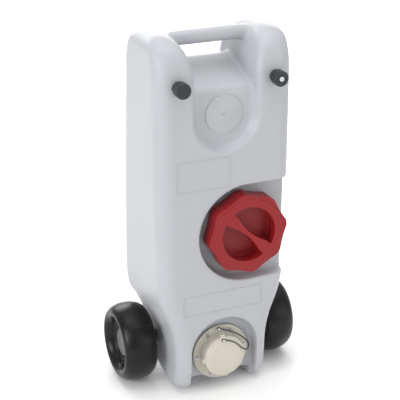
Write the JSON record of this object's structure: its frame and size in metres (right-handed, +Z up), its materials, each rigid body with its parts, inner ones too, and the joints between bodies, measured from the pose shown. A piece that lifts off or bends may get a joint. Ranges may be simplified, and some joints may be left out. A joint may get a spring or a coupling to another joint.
{
  "type": "portable waste tote",
  "caption": "Upright wheeled waste tote: blow-moulded tank with a moulded carrying handle, red screw filler cap, tethered bayonet drain cap, vents and side wheels on one axle.",
  "frame": {"origin": "on the floor, under the centre of the whole object's box, midway between the wheels", "axes": "+Z up, -Y out of the front with the filler cap and drain, +X along the axle towards the open side of the filler pocket"},
  "size_m": [0.4, 0.257, 0.764],
  "materials": {
    "tank": "fine moulded matt",
    "cap": "satin moulded red",
    "outlet": "satin ivory",
    "seal": "matt",
    "steel": "satin",
    "eyelet": "matt",
    "rivet": "gloss",
    "cord": "satin",
    "fitting": "satin moulded",
    "pin": "satin",
    "tyre": "satin moulded",
    "hub": "satin"
  },
  "bodies": {
    "root": {"tank_body": "tank", "drain_gasket": "seal", "drain_outlet": "outlet", "drain_screws": "steel", "flange_eye": "eyelet", "flange_rivet": "rivet", "tether_cord": "cord", "vent_left_body": "fitting", "vent_left_seal": "seal", "vent_left_lock_nut": "fitting", "vent_right_body": "fitting", "vent_right_seal": "seal", "vent_right_lock_nut": "fitting", "vent_right_nut": "fitting", "axle": "steel", "axle_spacer_left": "tyre", "axle_spacer_right": "tyre", "axle_washer_left": "steel", "axle_washer_right": "steel", "axle_clip_left": "steel", "axle_clip_right": "steel"},
    "filler_gasket": {"filler_gasket": "seal"},
    "filler_cap": {"filler_cap": "cap"},
    "vent_cap_liner": {"vent_left_cap_liner": "seal"},
    "vent_cap": {"vent_left_cap": "fitting"},
    "breather_pin": {"vent_right_pin": "pin"},
    "drain_cap": {"drain_cap": "outlet", "drain_cap_seal": "seal", "cap_eye": "eyelet", "cap_rivet": "rivet"},
    "wheel_left": {"wheel_left": "tyre", "hub_cap_left": "hub"},
    "wheel_right": {"wheel_right": "tyre", "hub_cap_right": "hub"}
  },
  "joints": [
    {"name": "filler_cap_lift", "type": "slide", "parent": "root", "child": "filler_gasket", "axis": [0, -1, 0], "range_m": [0, 0.0121]},
    {"name": "filler_cap_turn", "type": "hinge", "parent": "filler_gasket", "child": "filler_cap", "pos_m": [0.046, -0.101, 0.3545], "axis": [0, -1, 0], "range_deg": [0, 540]},
    {"name": "vent_cap_lift", "type": "slide", "parent": "root", "child": "vent_cap_liner", "axis": [0, -1, 0], "range_m": [0, 0.0031]},
    {"name": "vent_cap_turn", "type": "hinge", "parent": "vent_cap_liner", "child": "vent_cap", "pos_m": [-0.102, -0.101, 0.676], "axis": [0, -1, 0], "range_deg": [0, 720]},
    {"name": "breather_push", "type": "slide", "parent": "root", "child": "breather_pin", "axis": [0, 1, 0], "range_m": [0, 0.0025], "stiffness_N_per_m": 400},
    {"name": "drain_cap_twist", "type": "hinge", "parent": "root", "child": "drain_cap", "pos_m": [0, -0.101, 0.08], "axis": [0, -1, 0], "range_deg": [0, 40]},
    {"name": "wheel_left_spin", "type": "hinge", "parent": "root", "child": "wheel_left", "pos_m": [-0.16, 0.0365, 0.084], "axis": [1, 0, 0], "continuous": true},
    {"name": "wheel_right_spin", "type": "hinge", "parent": "root", "child": "wheel_right", "pos_m": [0.16, 0.0365, 0.084], "axis": [1, 0, 0], "continuous": true}
  ],
  "couplings": [
    {"joint": "filler_cap_lift", "follows": "filler_cap_turn", "m_per_rad": 0.00127},
    {"joint": "vent_cap_lift", "follows": "vent_cap_turn", "m_per_rad": 0.000238}
  ]
}
